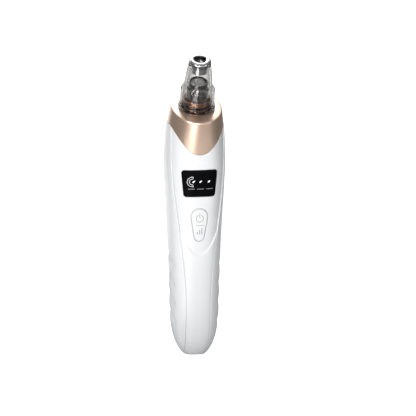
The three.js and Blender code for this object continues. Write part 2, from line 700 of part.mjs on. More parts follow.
place('main_board', makeBoard(), BOARD_GREEN);
place('switch_power', makeSwitch(81), CHIP_BLACK);
place('switch_mode', makeSwitch(67.8), CHIP_BLACK);
place('light_guide', makeLightGuide(), LIGHT_WHITE);
lightPlaces().forEach((spot, i) => place(`indicator_led_${i + 1}`, makeLight(spot), LIGHT_WHITE));
place('control_chip', chip(3.2, 3.2, 0, 77, 0.9), CHIP_BLACK);
place('charge_chip', chip(1.8, 1.6, -4.6, 69.6, 0.9), CHIP_BLACK);
place('lead_socket', chip(3, 1.2, 0, 59.7, 2.2), NYLON);
BOARD_SCREWS.forEach((spot, i) => place(`board_screw_${i + 1}`, makeBoardScrew(spot), STEEL));

place('battery_cell', makeBattery(), CELL_BLUE);
place('battery_pad', makeBatteryPad(), FOAM);
place('usb_socket', makeUsbSocket(), STEEL);
place('usb_board', makeUsbBoard(), BOARD_GREEN);
place('motor_lead_red', makeMotorLead(1), RED_WIRE);
place('motor_lead_black', makeMotorLead(-1), BLACK_WIRE);
place('battery_lead_red', lead(RED_LEAD_PATH), RED_WIRE);
place('battery_lead_black', lead(BLACK_LEAD_PATH, 20), BLACK_WIRE);
place('charge_lead_red', makeChargeLead(1), RED_WIRE);
place('charge_lead_black', makeChargeLead(-1), BLACK_WIRE);

export default extractor;
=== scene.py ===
"""Looks of the blackhead vacuum extractor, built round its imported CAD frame.

Lengths in the shape code are drawing millimetres in the CAD frame: +Z up the handle, -Y out of the
front. MM turns them into metres at full size when a mesh is made.
"""
import json
import math

import bmesh
import bpy
import numpy as np
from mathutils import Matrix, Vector


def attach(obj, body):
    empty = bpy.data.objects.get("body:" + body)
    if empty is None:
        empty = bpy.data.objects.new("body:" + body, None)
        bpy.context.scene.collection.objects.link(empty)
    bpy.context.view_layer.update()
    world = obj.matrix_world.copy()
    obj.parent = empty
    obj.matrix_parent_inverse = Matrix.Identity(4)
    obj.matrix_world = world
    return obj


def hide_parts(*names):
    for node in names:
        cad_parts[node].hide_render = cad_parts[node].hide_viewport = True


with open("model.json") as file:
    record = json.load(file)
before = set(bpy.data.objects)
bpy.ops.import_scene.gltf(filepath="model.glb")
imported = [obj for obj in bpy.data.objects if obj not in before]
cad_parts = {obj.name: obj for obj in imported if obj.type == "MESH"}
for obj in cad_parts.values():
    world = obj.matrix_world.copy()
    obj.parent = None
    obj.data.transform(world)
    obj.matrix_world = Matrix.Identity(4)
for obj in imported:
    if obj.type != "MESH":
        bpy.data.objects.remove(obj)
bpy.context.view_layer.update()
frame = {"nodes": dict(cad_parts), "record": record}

FULL_SCALE = 1.0078  # the drawing is 168.7 mm tall and the finished part 170 mm
MM = 0.001 * FULL_SCALE
HANDLE, HEAD, BUTTON = "handle", "head", "button"

# ---- handle outline: the same stations as the CAD -----------------------------------------
HALF_WIDTHS = [
    (0, 12.8), (30, 13.4), (60, 14.3), (80, 15.3), (104, 16.5), (120, 16.3), (130, 15.6), (139.8, 14.3),
]
HALF_DEPTHS = [
    (0, 13.0), (30, 14.5), (60, 15.8), (80, 17.2), (104, 18.6), (120, 18.8), (130, 18.5), (139.8, 18.0),
]
BEND_START, BEND_LENGTH, HEAD_TILT = 104.0, 35.8, math.radians(22)
BEND_RADIUS = BEND_LENGTH / HEAD_TILT
CREASE = BEND_START + BEND_LENGTH
SWAY = 1.2
END_DOME, END_CUT, END_POWER = 28.0, 1.3, 2.4
SQUARENESS = 2.5
WALL = 1.8
LIP_RISE, LIP_WALL, ROUND_OVER = 0.2, 2.2, 0.8
TONGUE_TIP, TONGUE_RISE, TONGUE_SPAN = 114.0, 17.8, 16.5
SEAM_LOW, SEAM_GAIN, SEAM_START, SEAM_END = 6.7, 8.1, 28.0, 116.0
SEAM_BACK, FOOT_SEAM_BACK, FOOT_TOP = -7.0, -2.6, 8.0
SEAM_GAP = 0.12
DISH_DEPTH, DISH_TIP, DISH_SOFT = 0.55, 57.7, 0.9
COLLAR_INSET = 0.35
SHELL_TOP_GAP = 0.24
EDGE = 0.28  # fillet radius along the shell edges
GROOVES = [50.2, 39.6, 28.9, 18.4]
GROOVE_CLIMB, GROOVE_START, GROOVE_SWEEP = 12.5, math.radians(58), math.radians(82)
GROOVE_DEPTH, GROOVE_WIDTH = 1.3, 2.0
SCREEN = {"top": 105.4, "bottom": 90.6, "half_top": 10.0, "half_bottom": 8.6, "corner": 1.5}
BUTTON_FACE, LENS_FACE = 0.15, 0.35  # insets below the handle's outline
GAUGE, DROPS, LABELS = (-4.3, 99.1), (-3.45, 0.35, 5.05), (-4.75, 0.3, 5.4)  # symbols on the display
LABEL_Z = 95.0
POWER = (0.1, 78.35)
TEARDROP = {"top_radius": 4.6, "top": 79.2, "tip_radius": 2.7, "tip": 68.2}
HEAD_TOP, BRIM, SLEEVE_END = 28.0, 28.3, 22.3
SEAT_HOLE = 7.9
FOOT_DISC = {"radius": 2.8, "top": 1.2}
INLET = {"z": 13.0, "half_width": 5.0, "half_height": 2.0, "corner": 1.6, "front": 9.0, "back": 20.0}
VENTS = {"x": (-6, -2, 2, 6), "half_width": 0.7, "bottom": 108.0, "top": 114.0, "front": 8.0, "back": 24.0}


# ---- curves and the skin ----------------------------------------------------------------
def smoothstep(value, low, high):
    t = np.clip((value - low) / (high - low), 0.0, 1.0)
    return t * t * (3 - 2 * t)


def through(stations, at):
    """Cubic curve through (position, value) stations, evaluated at an array of positions."""
    x, y = np.array(stations, float).T
    slope = np.empty_like(y)
    slope[1:-1] = (y[2:] - y[:-2]) / (x[2:] - x[:-2])
    slope[0] = (y[1] - y[0]) / (x[1] - x[0])
    slope[-1] = (y[-1] - y[-2]) / (x[-1] - x[-2])
    at = np.asarray(at, float)
    i = np.clip(np.searchsorted(x, at, side="right") - 1, 0, len(x) - 2)
    step = x[i + 1] - x[i]
    t = np.clip((at - x[i]) / step, 0, 1)
    blend = 2 * t ** 3 - 3 * t ** 2 + 1
    ramp = step * ((t ** 3 - 2 * t ** 2 + t) * slope[i] + (t ** 3 - t ** 2) * slope[i + 1])
    return blend * y[i] + (1 - blend) * y[i + 1] + ramp


def spine(height):
    lean = np.clip(height - BEND_START, 0, None) / BEND_RADIUS
    straight = np.minimum(height, BEND_START)
    y = -SWAY * (straight / BEND_START) ** 2 - BEND_RADIUS * (1 - np.cos(lean))
    return y, straight + BEND_RADIUS * np.sin(lean), lean


def section(height, inset):
    """Half width, half depth and squareness of the handle's section at a height."""
    t = np.minimum(1, (height + END_CUT - 0.9 * np.maximum(inset, 0)) / END_DOME)
    end = (1 - (1 - np.maximum(0.02, t)) ** END_POWER) ** (1 / END_POWER)
    square = SQUARENESS - 0.5 * smoothstep(height, BEND_START, CREASE)
    return through(HALF_WIDTHS, height) * end - inset, through(HALF_DEPTHS, height) * end - inset, square


def signed_power(value, exponent):
    return np.sign(value) * np.abs(value) ** exponent


def skin(height, angle, inset):
    """Points on the handle's surface; the angle runs from the front centre line towards +X."""
    height, angle, inset = np.broadcast_arrays(*(np.asarray(v, float) for v in (height, angle, inset)))
    wide, deep, square = section(height, inset)
    y0, z0, lean = spine(height)
    x = wide * signed_power(np.sin(angle), 2 / square)
    d = -deep * signed_power(np.cos(angle), 2 / square)
    return np.stack([x, y0 + d * np.cos(lean), z0 + d * np.sin(lean)], axis=-1)


def front(x, z, inset):
    """The point of the front surface seen at x, z, sunk by inset."""
    x, z, inset = np.broadcast_arrays(*(np.asarray(v, float) for v in (x, z, inset)))
    height = z.copy()
    for _ in range(8):
        wide, _, square = section(height, inset)
        angle = np.arcsin(np.clip(np.abs(x) / wide, 0, 1) ** (square / 2)) * np.sign(x)
        point = skin(height, angle, inset)
        height = height + (z - point[..., 2])
    return point


def seam_angle(height, grow):
    """Angle of the front cover's side seam at a height, pushed outwards by grow."""
    wide, deep, square = section(height, 0.0)
    y0, z0, _ = spine(height)
    side = SEAM_LOW + SEAM_GAIN * smoothstep(z0, SEAM_START, SEAM_END) + grow
    by_side = np.arcsin(np.clip(side / wide, 0, 1) ** (square / 2))
    back = np.where(z0 < FOOT_TOP, FOOT_SEAM_BACK, SEAM_BACK) + grow
    by_back = np.arccos(np.clip((y0 - back) / deep, 0, 1) ** (square / 2))
    low = np.minimum(by_side, by_back)
    return low - 0.05 * np.exp(-np.abs(by_side - by_back) / 0.12) * (low > 0.1)


def collar_edge(x, y):
    wrap = smoothstep(y, -6, 10)
    return TONGUE_TIP + TONGUE_RISE * ((x / TONGUE_SPAN) ** 2 * (1 - wrap) + wrap)


def collar_height(angle):
    """Height along the spine where the collar's lower edge crosses each angle."""
    low, high = np.full(np.shape(angle), 95.0), np.full(np.shape(angle), CREASE)
    for _ in range(30):
        middle = (low + high) / 2
        x, y, z = np.moveaxis(skin(middle, angle, 0.0), -1, 0)
        below = z < collar_edge(x, y)
        low, high = np.where(below, middle, low), np.where(below, high, middle)
    return low


def dish(x, z):
    """How far the front cover is sunk round the screen and button."""
    return DISH_DEPTH * smoothstep(z - (DISH_TIP + 8.3 * (x / 8.6) ** 2), -DISH_SOFT / 2, DISH_SOFT / 2)


def head_point(x, depth, level):
    """From the head's own axis frame into the CAD frame."""
    crease_y, crease_z, _ = (float(v) for v in spine(np.float64(CREASE)))
    c, s = math.cos(HEAD_TILT), math.sin(HEAD_TILT)
    level = np.asarray(level) + LIP_RISE
    y = crease_y + depth * c - level * s
    z = crease_z + depth * s + level * c
    return np.stack(np.broadcast_arrays(x, y, z), axis=-1)


# ---- mesh helpers -----------------------------------------------------------------------
def make_object(name, points, faces, material, body, smooth=35.0):
    mesh = bpy.data.meshes.new(name)
    mesh.from_pydata([tuple(p) for p in np.asarray(points) * MM], [], [tuple(f) for f in faces])
    work = bmesh.new()
    work.from_mesh(mesh)
    bmesh.ops.remove_doubles(work, verts=work.verts, dist=2e-6)
    bmesh.ops.dissolve_degenerate(work, edges=work.edges, dist=1e-7)
    bmesh.ops.recalc_face_normals(work, faces=work.faces)
    work.to_mesh(mesh)
    work.free()
    obj = bpy.data.objects.new(name, mesh)
    bpy.context.scene.collection.objects.link(obj)
    soften(obj, smooth)
    obj.data.materials.append(material)
    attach(obj, body)
    return obj


def soften(obj, degrees):
    obj.data.polygons.foreach_set("use_smooth", [True] * len(obj.data.polygons))
    obj.data.set_sharp_from_angle(angle=math.radians(degrees))


def grid_faces(rows, columns, offset=0, flip=False, wrap=False):
    faces = []
    span = columns if wrap else columns - 1
    for r in range(rows - 1):
        for c in range(span):
            a = offset + r * columns + c
            b = offset + r * columns + (c + 1) % columns
            quad = (a, b, b + columns, a + columns)
            faces.append(quad[::-1] if flip else quad)
    return faces


def fillet(radius, depth, steps=4):
    """(distance in from the edge, inset) pairs that roll a sheet's edge over to a depth."""
    turns = [math.pi / 2 * k / steps for k in range(steps + 1)]
    return [(radius * (1 - math.sin(t)), radius * (1 - math.cos(t))) for t in turns] + [(0.0, depth)]


def closed_sheet(outer, inner):
    """Vertices and faces of two matching grids that share their boundary."""
    rows, columns = outer.shape[:2]
    points = np.concatenate([outer.reshape(-1, 3), inner.reshape(-1, 3)])
    return points, grid_faces(rows, columns) + grid_faces(rows, columns, rows * columns, flip=True)


def cut(obj, cutter):
    """Take a closed cutter out of an object, then delete the cutter."""
    tool = obj.modifiers.new("cut", "BOOLEAN")
    tool.operation, tool.solver, tool.object = "DIFFERENCE", "EXACT", cutter
    bpy.context.view_layer.update()
    graph = bpy.context.evaluated_depsgraph_get()
    result = bpy.data.meshes.new_from_object(obj.evaluated_get(graph))
    obj.modifiers.clear()
    old, obj.data = obj.data, result
    bpy.data.meshes.remove(old)
    bpy.data.objects.remove(cutter)
    soften(obj, 35.0)


def plain_object(name, points, faces):
    mesh = bpy.data.meshes.new(name)
    mesh.from_pydata([tuple(p) for p in np.asarray(points) * MM], [], faces)
    work = bmesh.new()
    work.from_mesh(mesh)
    bmesh.ops.recalc_face_normals(work, faces=work.faces)
    work.to_mesh(mesh)
    work.free()
    obj = bpy.data.objects.new(name, mesh)
    bpy.context.scene.collection.objects.link(obj)
    return obj


def ring_stack(rings, cap_first=True, cap_last=True):
    """Closed surface through a list of equal rings of points."""
    count = len(rings[0])
    points = np.concatenate(rings)
    faces = grid_faces(len(rings), count, wrap=True)
    if cap_first:
        faces.append(tuple(range(count))[::-1])
    if cap_last:
        faces.append(tuple((len(rings) - 1) * count + k for k in range(count)))
    return points, faces


def rounded_corners(corners, radius, steps=8):
    """Outline of a convex polygon with its corners rounded by arcs."""
    outline = []
    count = len(corners)
    for i, corner in enumerate(corners):
        here = Vector(corner)
        back = (Vector(corners[i - 1]) - here).normalized()
        on = (Vector(corners[(i + 1) % count]) - here).normalized()
        half = back.angle(on) / 2
        centre = here + (back + on).normalized() * radius / math.sin(half)
        start = here + back * radius / math.tan(half) - centre
        end = here + on * radius / math.tan(half) - centre
        a0 = math.atan2(start.y, start.x)
        a1 = math.atan2(end.y, end.x)
        sweep = (a1 - a0 + math.pi) % (2 * math.pi) - math.pi
        for k in range(steps + 1):
            a = a0 + sweep * k / steps
            outline.append((centre.x + radius * math.cos(a), centre.y + radius * math.sin(a)))
    return np.array(outline)


def resample(outline, count):
    """The same closed outline with evenly spaced points."""
    closed = np.vstack([outline, outline[:1]])
    steps = np.linalg.norm(np.diff(closed, axis=0), axis=1)
    along = np.concatenate([[0], np.cumsum(steps)])
    at = np.linspace(0, along[-1], count, endpoint=False)
    return np.stack([np.interp(at, along, closed[:, k]) for k in (0, 1)], axis=-1)


def screen_outline(grow, count=120):
    s = SCREEN
    corners = [
        (-s["half_bottom"] - grow, s["bottom"] - grow), (s["half_bottom"] + grow, s["bottom"] - grow),
        (s["half_top"] + grow, s["top"] + grow), (-s["half_top"] - grow, s["top"] + grow),
    ]
    return resample(rounded_corners(corners, s["corner"] + grow), count)


def teardrop_outline(grow, count=96):
    t = TEARDROP
    slant = math.asin((t["top_radius"] - t["tip_radius"]) / (t["top"] - t["tip"]))
    arcs = []
    for centre, radius, a0, a1 in (
        (t["top"], t["top_radius"] + grow, -slant, math.pi + slant),
        (t["tip"], t["tip_radius"] + grow, math.pi + slant, 2 * math.pi - slant),
    ):
        for k in range(25):
            a = a0 + (a1 - a0) * k / 24
            arcs.append((radius * math.cos(a), centre + radius * math.sin(a)))
    return resample(np.array(arcs), count)


def front_pad(outline_of, profile, centre, crown=0.0, rings=10):
    """A pad that follows the front surface: an edge profile of (grow, inset), then a crowned face."""
    stack = [front(*outline_of(grow).T, inset) for grow, inset in profile]
    face_grow, face_inset = profile[-1]
    face = outline_of(face_grow)
    middle = np.array(centre)
    for k in range(1, rings):
        share = 1 - k / rings
        flat = middle + (face - middle) * share
        stack.append(front(*flat.T, face_inset - crown * (1 - share ** 2)))
    tip = front(middle[0], middle[1], face_inset - crown)
    points, faces = ring_stack(stack, cap_first=True, cap_last=False)
    last = (len(stack) - 1) * len(face)
    faces += [(last + k, last + (k + 1) % len(face), len(points)) for k in range(len(face))]
    return np.vstack([points, tip[None]]), faces


def lathe(name, profile, material, body, segments=96, smooth=35.0, closed=True):
    """A turned piece on the head axis, from (radius, level) points."""
    profile = np.array(profile, float)
    turn = np.linspace(0, 2 * math.pi, segments, endpoint=False)
    rings = [head_point(r * np.sin(turn), -r * np.cos(turn), z) for r, z in profile]
    if closed:
        rings.append(rings[0])
    points, faces = ring_stack(rings, cap_first=not closed, cap_last=not closed)
    return make_object(name, points, faces, material, body, smooth)


def round_profile(corners, steps=4):
    """Closed profile with a fillet at each corner given as (radius, level, fillet)."""
    points = []
    count = len(corners)
    for i, (x, y, r) in enumerate(corners):
        here = Vector((x, y))
        back = Vector(corners[i - 1][:2]) - here
        on = Vector(corners[(i + 1) % count][:2]) - here
        reach = min(r, 0.45 * back.length, 0.45 * on.length)
        start, end = here + back.normalized() * reach, here + on.normalized() * reach
        if reach < 1e-4:
            points.append((x, y))
            continue
        for k in range(steps + 1):
            t = k / steps
            p = start * (1 - t) ** 2 + here * 2 * t * (1 - t) + end * t ** 2
            points.append((p.x, p.y))
    return points


# ---- materials --------------------------------------------------------------------------
class Nodes:
    """Small helper that adds and joins shader nodes."""

    def __init__(self, name):
        self.material = bpy.data.materials.new(name)
        self.material.use_nodes = True
        self.tree = self.material.node_tree
        self.shader = self.tree.nodes["Principled BSDF"]
        self.place = self.add("ShaderNodeTexCoord").outputs["Object"]

    def add(self, kind, **values):
        node = self.tree.nodes.new(kind)
        for key, value in values.items():
            if hasattr(node, key):
                setattr(node, key, value)
            else:
                node.inputs[key].default_value = value
        return node

    def link(self, out, into):
        self.tree.links.new(out, into)

    def noise(self, scale, detail=3.0, rough=0.5, stretch=None):
        node = self.add("ShaderNodeTexNoise")
        node.inputs["Scale"].default_value = scale
        node.inputs["Detail"].default_value = detail
        node.inputs["Roughness"].default_value = rough
        if stretch:
            mapping = self.add("ShaderNodeMapping")
            mapping.inputs["Scale"].default_value = stretch
            self.link(self.place, mapping.inputs["Vector"])
            self.link(mapping.outputs["Vector"], node.inputs["Vector"])
        else:
            self.link(self.place, node.inputs["Vector"])
        return node.outputs["Fac"]

    def remap(self, value, low, high):
        node = self.add("ShaderNodeMapRange")
        node.inputs["To Min"].default_value = low
        node.inputs["To Max"].default_value = high
        self.link(value, node.inputs["Value"])
        return node.outputs["Result"]

    def tint(self, value, dark, light):
        node = self.add("ShaderNodeMix", data_type="RGBA")
        node.inputs["A"].default_value = (*dark, 1)
        node.inputs["B"].default_value = (*light, 1)
        self.link(value, node.inputs["Factor"])
        self.link(node.outputs["Result"], self.shader.inputs["Base Color"])

    def rough(self, value, low, high):
        self.link(self.remap(value, low, high), self.shader.inputs["Roughness"])

    def bump(self, value, distance, strength=0.5):
        node = self.add("ShaderNodeBump")
        node.inputs["Strength"].default_value = strength
        node.inputs["Distance"].default_value = distance * MM
        self.link(value, node.inputs["Height"])
        self.link(node.outputs["Normal"], self.shader.inputs["Normal"])

    def head_frame(self):
        """Distance from the head's axis and level along it, in metres."""
        crease_y, crease_z, _ = (float(v) * MM for v in spine(np.float64(CREASE)))
        turned = self.add("ShaderNodeMapping", vector_type="TEXTURE")
        turned.inputs["Location"].default_value = (0, crease_y, crease_z)
        turned.inputs["Rotation"].default_value = (HEAD_TILT, 0, 0)
        self.link(self.place, turned.inputs["Vector"])
        flat = self.add("ShaderNodeVectorMath", operation="MULTIPLY")
        flat.inputs[1].default_value = (1, 1, 0)
        self.link(turned.outputs["Vector"], flat.inputs[0])
        radius = self.add("ShaderNodeVectorMath", operation="LENGTH")
        self.link(flat.outputs["Vector"], radius.inputs[0])
        level = self.add("ShaderNodeSeparateXYZ")
        self.link(turned.outputs["Vector"], level.inputs["Vector"])
        return radius.outputs["Value"], level.outputs["Z"]

    def between(self, value, low, high):
        """0 below low and 1 above high, both in drawing millimetres."""
        node = self.add("ShaderNodeMapRange")
        node.inputs["From Min"].default_value = low * MM
        node.inputs["From Max"].default_value = high * MM
        self.link(value, node.inputs["Value"])
        return node.outputs["Result"]

    def set(self, **values):
        for key, value in values.items():
            self.shader.inputs[key.replace("_", " ")].default_value = value


def white_plastic(name, warmth=0.0):
    n = Nodes(name)
    n.tint(n.noise(60, 2), (0.80, 0.81, 0.825 - warmth), (0.84, 0.848, 0.86 - warmth))
    n.rough(n.noise(900, 3), 0.26, 0.36)
    n.bump(n.noise(2600, 2), 0.010, 0.25)
    n.set(Coat_Weight=0.2, Coat_Roughness=0.15, IOR=1.46)
    return n.material


def rose_gold(name):
    """Satin metallic lacquer with a fine vertical grain."""
    n = Nodes(name)
    n.tint(n.noise(140, 3), (0.80, 0.585, 0.455), (0.86, 0.635, 0.495))
    n.rough(n.noise(1200, 3, stretch=(1, 1, 0.25)), 0.27, 0.36)
    n.bump(n.noise(4200, 3), 0.012, 0.3)
    n.set(Metallic=0.82, Coat_Weight=0.25, Coat_Roughness=0.2)
    return n.material


def clear_plastic(name):
    """Lightly smoked clear moulding, coloured darker where the wall is seen edge on: painted edge shade on
    top of the smoke's own absorption.
    """
    n = Nodes(name)
    edge = n.add("ShaderNodeLayerWeight", Blend=0.55)
    # painted edge shade: the colour goes nearly black where the wall is seen edge on
    n.tint(edge.outputs["Facing"], (0.90, 0.895, 0.89), (0.03, 0.029, 0.028))
    n.rough(n.noise(700, 2), 0.0, 0.015)
    n.bump(n.noise(300, 2), 0.004, 0.04)
    n.set(Transmission_Weight=1.0, IOR=1.28)
    return n.material


def brown_clear(name):
    """Smoky moulding that turns from dark grey at the cup to warm brown at its base."""
    n = Nodes(name)
    _, level = n.head_frame()
    n.tint(n.between(level, 5.8, 7.6), (0.36, 0.21, 0.14), (0.15, 0.14, 0.135))
    n.rough(n.noise(700, 2), 0.12, 0.20)
    n.bump(n.noise(900, 2), 0.01, 0.2)
    n.set(Metallic=0.9, Coat_Weight=0.5, Coat_Roughness=0.08)
    return n.material


def chrome(name):
    """Polished metal with painted shade: near black inside the suction bore."""
    n = Nodes(name)
    radius, _ = n.head_frame()
    # painted shade: near black colour on the bore's inner wall, closer than 3.4 mm to the head axis
    n.tint(n.between(radius, 3.4, 4.0), (0.035, 0.035, 0.038), (0.66, 0.66, 0.67))
    n.rough(n.noise(1500, 4), 0.05, 0.12)
    n.bump(n.noise(2400, 3), 0.008, 0.15)
    n.set(Metallic=1.0)
    return n.material


def polished_metal(name, dark, light, low, high, grain=(1, 1, 6)):
    n = Nodes(name)
    n.tint(n.noise(300, 3), dark, light)
    n.rough(n.noise(1500, 4, stretch=grain), low, high)
    n.bump(n.noise(2400, 3, stretch=grain), 0.008, 0.15)
    n.set(Metallic=1.0)
    return n.material


def moulded(name, dark, light, low, high, bump=0.02, scale=1400, coat=0.0):
    n = Nodes(name)
    n.tint(n.noise(220, 3), dark, light)
    n.rough(n.noise(900, 3), low, high)
    n.bump(n.noise(scale, 3), bump, 0.4)
    n.set(Coat_Weight=coat)
    return n.material


def lens_black(name):
    n = Nodes(name)
    n.tint(n.noise(90, 2), (0.002, 0.002, 0.002), (0.004, 0.004, 0.005))
    n.rough(n.noise(1100, 3), 0.14, 0.22)
    n.bump(n.noise(500, 2), 0.004, 0.1)
    n.set(Specular_IOR_Level=0.03)
    return n.material


def glowing(name, colour, strength):
    n = Nodes(name)
    n.tint(n.noise(900, 2), tuple(c * 0.94 for c in colour), colour)
    n.rough(n.noise(1200, 2), 0.35, 0.5)
    n.set(Emission_Color=(*colour, 1), Emission_Strength=strength)
    return n.material


def sponge(name):
    n = Nodes(name)
    cells = n.add("ShaderNodeTexVoronoi")
    cells.inputs["Scale"].default_value = 1900
    n.link(n.place, cells.inputs["Vector"])
    n.tint(cells.outputs["Distance"], (0.80, 0.79, 0.77), (0.22, 0.21, 0.20))
    n.rough(n.noise(900, 2), 0.35, 0.7)
    n.bump(cells.outputs["Distance"], 0.35, 1.0)
    return n.material


WHITE = white_plastic("white_plastic")
BUTTON_WHITE = white_plastic("white_plastic_button", 0.01)
GOLD = rose_gold("rose_gold")
CLEAR = clear_plastic("smoked_clear")
BROWN = brown_clear("brown_clear")
CHROME = chrome("chrome_tip")
STEEL = polished_metal("steel", (0.50, 0.51, 0.53), (0.62, 0.63, 0.65), 0.22, 0.4)
COPPER = polished_metal("copper", (0.55, 0.28, 0.15), (0.66, 0.36, 0.20), 0.25, 0.45)
LENS = lens_black("black_lens")
MARK = glowing("indicator_marks", (0.95, 0.96, 1.0), 0.55)
DIM_MARK = glowing("indicator_dashes", (0.30, 0.30, 0.32), 0.1)
INK = moulded("grey_marks", (0.36, 0.365, 0.37), (0.42, 0.425, 0.43), 0.5, 0.65)
RUBBER = moulded("dark_rubber", (0.018, 0.018, 0.02), (0.03, 0.03, 0.032), 0.6, 0.8, 0.03, 2600)
SILICONE = moulded("silicone", (0.62, 0.60, 0.56), (0.72, 0.70, 0.66), 0.35, 0.5, 0.02, 800)
NYLON = moulded("nylon", (0.70, 0.68, 0.63), (0.80, 0.78, 0.73), 0.4, 0.55)
BOARD = moulded("board_green", (0.01, 0.10, 0.035), (0.02, 0.16, 0.06), 0.25, 0.4, 0.02, 900, 0.4)
CHIP = moulded("chip_black", (0.012, 0.012, 0.014), (0.025, 0.025, 0.028), 0.4, 0.6, 0.03, 3000)
LIGHT = glowing("light_parts", (0.9, 0.89, 0.84), 0.05)
CELL = moulded("cell_wrap", (0.02, 0.10, 0.28), (0.035, 0.15, 0.36), 0.2, 0.32, 0.02, 500, 0.4)
MAGNET = moulded("ferrite", (0.03, 0.03, 0.033), (0.05, 0.05, 0.055), 0.55, 0.75, 0.04, 2200)
RED = moulded("red_wire", (0.42, 0.02, 0.015), (0.55, 0.035, 0.025), 0.35, 0.5)
BLACK = moulded("black_wire", (0.012, 0.012, 0.014), (0.022, 0.022, 0.024), 0.35, 0.5)
FOAM = sponge("foam")


# ---- shells -----------------------------------------------------------------------------
def edge_entries(interior):
    """(share, distance in from the edge, inset) across a patch, with rolled edges both ends."""
    roll = fillet(EDGE, WALL)
    first = [(0.0, off, inset) for off, inset in reversed(roll)]
    last = [(1.0, off, inset) for off, inset in roll]
    return first + [(share, None, 0.0) for share in interior[1:-1]] + last


def patch(columns, rows, angle_low, angle_high, bottom, top_of, sink):
    """Outer and inner grids of a shell between two seam angles and two heights."""
    col = edge_entries(columns)
    row = edge_entries(rows)
    height = np.tile(np.linspace(bottom, 120, len(row))[:, None], (1, len(col)))
    for _ in range(5):
        low, high = angle_low(height), angle_high(height)
        reach = np.linalg.norm(skin(height, low + 0.01, 0) - skin(height, low, 0), axis=-1) / 0.01 + 1e-3
        angle = np.empty_like(height)
        for c, (share, off, _) in enumerate(col):
            roll = EDGE / reach[:, c]
            a0, a1 = low[:, c] + roll, high[:, c] - roll
            if off is None:
                angle[:, c] = a0 + (a1 - a0) * share
            elif share == 0.0:
                angle[:, c] = np.minimum(low[:, c] + off / reach[:, c], (low[:, c] + high[:, c]) / 2)
            else:
                angle[:, c] = np.maximum(high[:, c] - off / reach[:, c], (low[:, c] + high[:, c]) / 2)
        top = top_of(angle)
        for r, (share, off, _) in enumerate(row):
            h0, h1 = bottom + EDGE, top[r] - EDGE
            if off is None:
                height[r] = h0 + (h1 - h0) * share
            elif share == 0.0:
                height[r] = bottom + off
            else:
                height[r] = top[r] - off
    inset = np.maximum(np.array([e[2] for e in row])[:, None], np.array([e[2] for e in col])[None, :])
    surface = skin(height, angle, 0.0)
    depth = np.maximum(inset, np.minimum(sink(surface, height, angle) + inset, WALL))
    return skin(height, angle, depth), skin(height, angle, WALL)


def make_front_cover():
    def sink(surface, height, angle):
        return dish(surface[..., 0], surface[..., 2])

    outer, inner = patch(
        list(np.linspace(0, 1, 65)), list(np.linspace(0, 1, 190) ** 1.35),
        lambda h: -seam_angle(h, -SEAM_GAP / 2), lambda h: seam_angle(h, -SEAM_GAP / 2),
        0.0, lambda a: collar_height(a) - SHELL_TOP_GAP, sink)
    points, faces = closed_sheet(outer, inner)
    cover = make_object("front_cover_skin", points, faces, WHITE, HANDLE)
    cut_front(cover, screen_outline, 0.12)
    cut_front(cover, teardrop_outline, 0.15)
    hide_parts("front_cover")
    return cover


def cut_front(cover, outline_of, gap):
    """Opening through the front cover with a rolled lip."""
    levels = [
        (gap + 0.75, -1.5), (gap + 0.42, DISH_DEPTH - 0.12), (gap + 0.2, DISH_DEPTH + 0.02),
        (gap + 0.06, DISH_DEPTH + 0.14), (gap, DISH_DEPTH + 0.34), (gap, WALL + 2.0),
    ]
    rings = [front(*outline_of(grow).T, inset) for grow, inset in levels]
    points, faces = ring_stack(rings)
    cut(cover, plain_object("cutter", points, faces))


def groove_sink(surface, height, angle):
    """Depth of the slanting grip grooves on both sides of the handle."""
    depth = np.zeros_like(height)
    side = np.where(angle > math.pi, 2 * math.pi - angle, angle)
    along = (side - GROOVE_START) / GROOVE_SWEEP
    fade = smoothstep(along, -0.02, 0.22) * (1 - smoothstep(along, 0.72, 1.02))
    for start in GROOVES:
        middle = start + GROOVE_CLIMB * along
        away = (height - middle) * 0.86
        scoop = np.exp(-(away / GROOVE_WIDTH) ** 2 * np.where(away > 0, 2.6, 0.9))
        depth = np.maximum(depth, GROOVE_DEPTH * fade * scoop)
    return depth


def make_rear_shell():
    outer, inner = patch(
        list(np.linspace(0, 1, 121)), list(np.linspace(0, 1, 230) ** 1.25),
        lambda h: seam_angle(h, SEAM_GAP / 2), lambda h: 2 * math.pi - seam_angle(h, SEAM_GAP / 2),
        0.0, lambda a: collar_height(a) - SHELL_TOP_GAP, groove_sink)
    points, faces = closed_sheet(outer, inner)
    turn = np.linspace(0, 2 * math.pi, 48, endpoint=False)
    foot_x, foot_y = FOOT_DISC["radius"] * np.sin(turn), FOOT_DISC["radius"] * np.cos(turn)
    disc, disc_faces = ring_stack([
        np.stack([foot_x, foot_y, np.full_like(turn, z)], axis=-1) for z in (0.0, FOOT_DISC["top"])
    ])
    faces += [tuple(k + len(points) for k in face) for face in disc_faces]
    shell = make_object("rear_shell_skin", np.vstack([points, disc]), faces, WHITE, HANDLE)
    low, high = INLET["z"] - INLET["half_height"], INLET["z"] + INLET["half_height"]
    cut_back(shell, INLET, 0.0, low, high, INLET["corner"])
    for x in VENTS["x"]:
        cut_back(shell, VENTS, x, VENTS["bottom"], VENTS["top"], VENTS["half_width"] * 0.98)
    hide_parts("rear_shell")


def cut_back(shell, opening, x, low, high, corner):
    """A rounded slot straight through the back wall."""
    wide = opening["half_width"]
    corners = [(x - wide, low), (x + wide, low), (x + wide, high), (x - wide, high)]
    outline = rounded_corners(corners, corner)
    rings = [
        np.stack([outline[:, 0], np.full(len(outline), y), outline[:, 1]], axis=-1)
        for y in (opening["front"], opening["back"])
    ]
    points, faces = ring_stack(rings)
    cut(shell, plain_object("cutter", points, faces))


